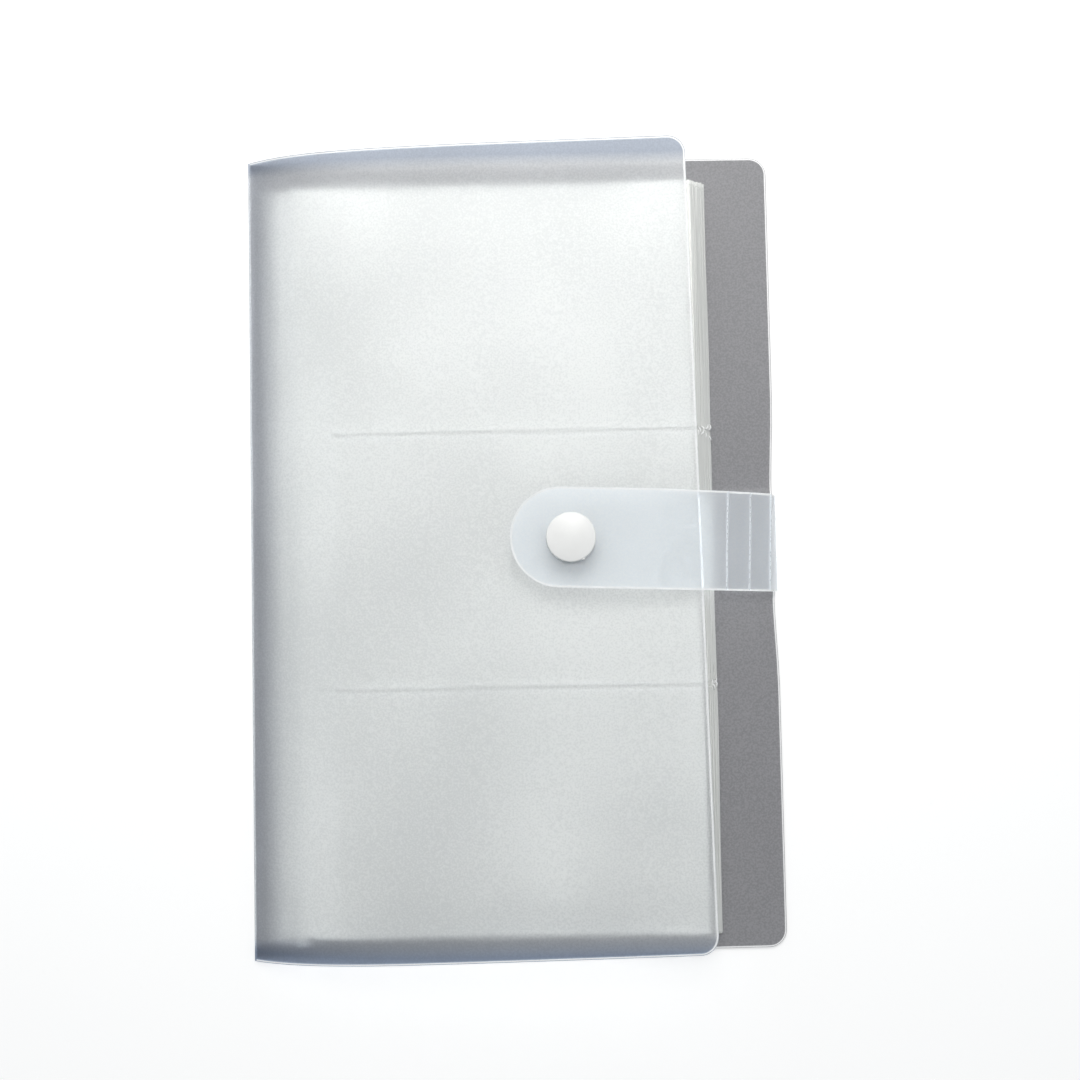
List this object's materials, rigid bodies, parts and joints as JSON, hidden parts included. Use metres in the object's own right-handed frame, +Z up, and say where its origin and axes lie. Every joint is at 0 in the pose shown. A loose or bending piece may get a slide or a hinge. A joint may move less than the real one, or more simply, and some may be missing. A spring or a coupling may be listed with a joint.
{
  "type": "trading card album",
  "caption": "Frosted pocket album for trading cards: a folded cover with a soft spine, clear pocket leaves and a scored strap that closes round the fore edge with a snap.",
  "frame": {"origin": "on the table plane, midway between the folded edge and the fore edge and between head and tail", "axes": "+X from the folded edge to the fore edge, +Y from tail to head, +Z up from the back cover"},
  "size_m": [0.1364, 0.2079, 0.0163],
  "materials": {
    "cover": "frosted translucent polypropylene",
    "strap": "frosted translucent polypropylene",
    "film": "clear pocket film",
    "weld": "fused clear film",
    "snap": "white moulded plastic"
  },
  "bodies": {
    "back": {"back_cover": "cover", "spine": "cover", "binding_block": "weld", "strap_anchor": "strap"},
    "front_cover": {"front_cover": "cover", "front_crease": "cover", "snap_stud": "snap", "snap_inner_cap": "snap"},
    "strap_riser": {"strap_riser": "strap"},
    "strap_panel_1": {"strap_panel_1": "strap"},
    "strap_panel_2": {"strap_panel_2": "strap"},
    "strap_tongue": {"strap_tongue": "strap", "snap_cap": "snap", "snap_socket": "snap"},
    "leaf_01": {"leaf_01": "film", "pockets_01": "film"},
    "leaf_02": {"leaf_02": "film", "pockets_02": "film"},
    "leaf_03": {"leaf_03": "film", "pockets_03": "film"},
    "leaf_04": {"leaf_04": "film", "pockets_04": "film"},
    "leaf_05": {"leaf_05": "film", "pockets_05": "film"},
    "leaf_06": {"leaf_06": "film", "pockets_06": "film"},
    "leaf_07": {"leaf_07": "film", "pockets_07": "film"},
    "leaf_08": {"leaf_08": "film", "pockets_08": "film"},
    "leaf_09": {"leaf_09": "film", "pockets_09": "film"},
    "leaf_10": {"leaf_10": "film", "pockets_10": "film"},
    "leaf_11": {"leaf_11": "film", "pockets_11": "film"},
    "leaf_12": {"leaf_12": "film", "pockets_12": "film"},
    "leaf_13": {"leaf_13": "film", "pockets_13": "film"},
    "leaf_14": {"leaf_14": "film", "pockets_14": "film"},
    "leaf_15": {"leaf_15": "film", "pockets_15": "film"},
    "leaf_16": {"leaf_16": "film", "pockets_16": "film"}
  },
  "joints": [
    {"name": "cover_hinge", "type": "hinge", "parent": "back", "child": "front_cover", "pos_m": [-0.068, 0, 0.00085], "axis": [0, -1, 0], "range_deg": [0, 150]},
    {"name": "strap_hinge", "type": "hinge", "parent": "back", "child": "strap_riser", "pos_m": [0.0679, 0.0008, 0.00025], "axis": [0, 1, 0], "range_deg": [0, 110]},
    {"name": "strap_score_1", "type": "hinge", "parent": "strap_riser", "child": "strap_panel_1", "pos_m": [0.06516, 0.00091, 0.00614], "axis": [0.0384, 0.9993, 0], "range_deg": [0, 40.75]},
    {"name": "strap_score_2", "type": "hinge", "parent": "strap_panel_1", "child": "strap_panel_2", "pos_m": [0.05928, 0.00113, 0.00891], "axis": [0.0384, 0.9993, 0], "range_deg": [0, 7.31]},
    {"name": "strap_score_3", "type": "hinge", "parent": "strap_panel_2", "child": "strap_tongue", "pos_m": [0.05314, 0.00137, 0.01102], "axis": [0.0384, 0.9993, 0], "range_deg": [0, 7.31]},
    {"name": "leaf_turn_01", "type": "hinge", "parent": "back", "child": "leaf_01", "pos_m": [-0.051, 0, 0.00084], "axis": [0, -1, 0], "range_deg": [0, 120]},
    {"name": "leaf_turn_02", "type": "hinge", "parent": "back", "child": "leaf_02", "pos_m": [-0.0513, 0, 0.00104], "axis": [0, -1, 0], "range_deg": [0, 120]},
    {"name": "leaf_turn_03", "type": "hinge", "parent": "back", "child": "leaf_03", "pos_m": [-0.0516, 0, 0.00124], "axis": [0, -1, 0], "range_deg": [0, 120]},
    {"name": "leaf_turn_04", "type": "hinge", "parent": "back", "child": "leaf_04", "pos_m": [-0.0519, 0, 0.00144], "axis": [0, -1, 0], "range_deg": [0, 120]},
    {"name": "leaf_turn_05", "type": "hinge", "parent": "back", "child": "leaf_05", "pos_m": [-0.0522, 0, 0.00164], "axis": [0, -1, 0], "range_deg": [0, 120]},
    {"name": "leaf_turn_06", "type": "hinge", "parent": "back", "child": "leaf_06", "pos_m": [-0.0525, 0, 0.00184], "axis": [0, -1, 0], "range_deg": [0, 120]},
    {"name": "leaf_turn_07", "type": "hinge", "parent": "back", "child": "leaf_07", "pos_m": [-0.0528, 0, 0.00204], "axis": [0, -1, 0], "range_deg": [0, 120]},
    {"name": "leaf_turn_08", "type": "hinge", "parent": "back", "child": "leaf_08", "pos_m": [-0.0531, 0, 0.00224], "axis": [0, -1, 0], "range_deg": [0, 120]},
    {"name": "leaf_turn_09", "type": "hinge", "parent": "back", "child": "leaf_09", "pos_m": [-0.0534, 0, 0.00244], "axis": [0, -1, 0], "range_deg": [0, 120]},
    {"name": "leaf_turn_10", "type": "hinge", "parent": "back", "child": "leaf_10", "pos_m": [-0.0537, 0, 0.00264], "axis": [0, -1, 0], "range_deg": [0, 120]},
    {"name": "leaf_turn_11", "type": "hinge", "parent": "back", "child": "leaf_11", "pos_m": [-0.054, 0, 0.00284], "axis": [0, -1, 0], "range_deg": [0, 120]},
    {"name": "leaf_turn_12", "type": "hinge", "parent": "back", "child": "leaf_12", "pos_m": [-0.0543, 0, 0.00304], "axis": [0, -1, 0], "range_deg": [0, 120]},
    {"name": "leaf_turn_13", "type": "hinge", "parent": "back", "child": "leaf_13", "pos_m": [-0.0546, 0, 0.00324], "axis": [0, -1, 0], "range_deg": [0, 120]},
    {"name": "leaf_turn_14", "type": "hinge", "parent": "back", "child": "leaf_14", "pos_m": [-0.0549, 0, 0.00344], "axis": [0, -1, 0], "range_deg": [0, 120]},
    {"name": "leaf_turn_15", "type": "hinge", "parent": "back", "child": "leaf_15", "pos_m": [-0.0552, 0, 0.00364], "axis": [0, -1, 0], "range_deg": [0, 120]},
    {"name": "leaf_turn_16", "type": "hinge", "parent": "back", "child": "leaf_16", "pos_m": [-0.0555, 0, 0.00384], "axis": [0, -1, 0], "range_deg": [0, 120]}
  ],
  "couplings": [
    {"joint": "strap_score_1", "follows": "strap_hinge", "ratio": 0.36136},
    {"joint": "strap_score_2", "follows": "strap_hinge", "ratio": 0.057378},
    {"joint": "strap_score_3", "follows": "strap_hinge", "ratio": 0.057395},
    {"joint": "leaf_turn_01", "follows": "cover_hinge", "ratio": 0.001667},
    {"joint": "leaf_turn_02", "follows": "cover_hinge", "ratio": 0.003333},
    {"joint": "leaf_turn_03", "follows": "cover_hinge", "ratio": 0.005},
    {"joint": "leaf_turn_04", "follows": "cover_hinge", "ratio": 0.006667},
    {"joint": "leaf_turn_05", "follows": "cover_hinge", "ratio": 0.008333},
    {"joint": "leaf_turn_06", "follows": "cover_hinge", "ratio": 0.01},
    {"joint": "leaf_turn_07", "follows": "cover_hinge", "ratio": 0.011667},
    {"joint": "leaf_turn_08", "follows": "cover_hinge", "ratio": 0.013333},
    {"joint": "leaf_turn_09", "follows": "cover_hinge", "ratio": 0.015},
    {"joint": "leaf_turn_10", "follows": "cover_hinge", "ratio": 0.016667},
    {"joint": "leaf_turn_11", "follows": "cover_hinge", "ratio": 0.71667},
    {"joint": "leaf_turn_12", "follows": "cover_hinge", "ratio": 0.72933},
    {"joint": "leaf_turn_13", "follows": "cover_hinge", "ratio": 0.742},
    {"joint": "leaf_turn_14", "follows": "cover_hinge", "ratio": 0.75467},
    {"joint": "leaf_turn_15", "follows": "cover_hinge", "ratio": 0.76733},
    {"joint": "leaf_turn_16", "follows": "cover_hinge", "ratio": 0.78}
  ]
}
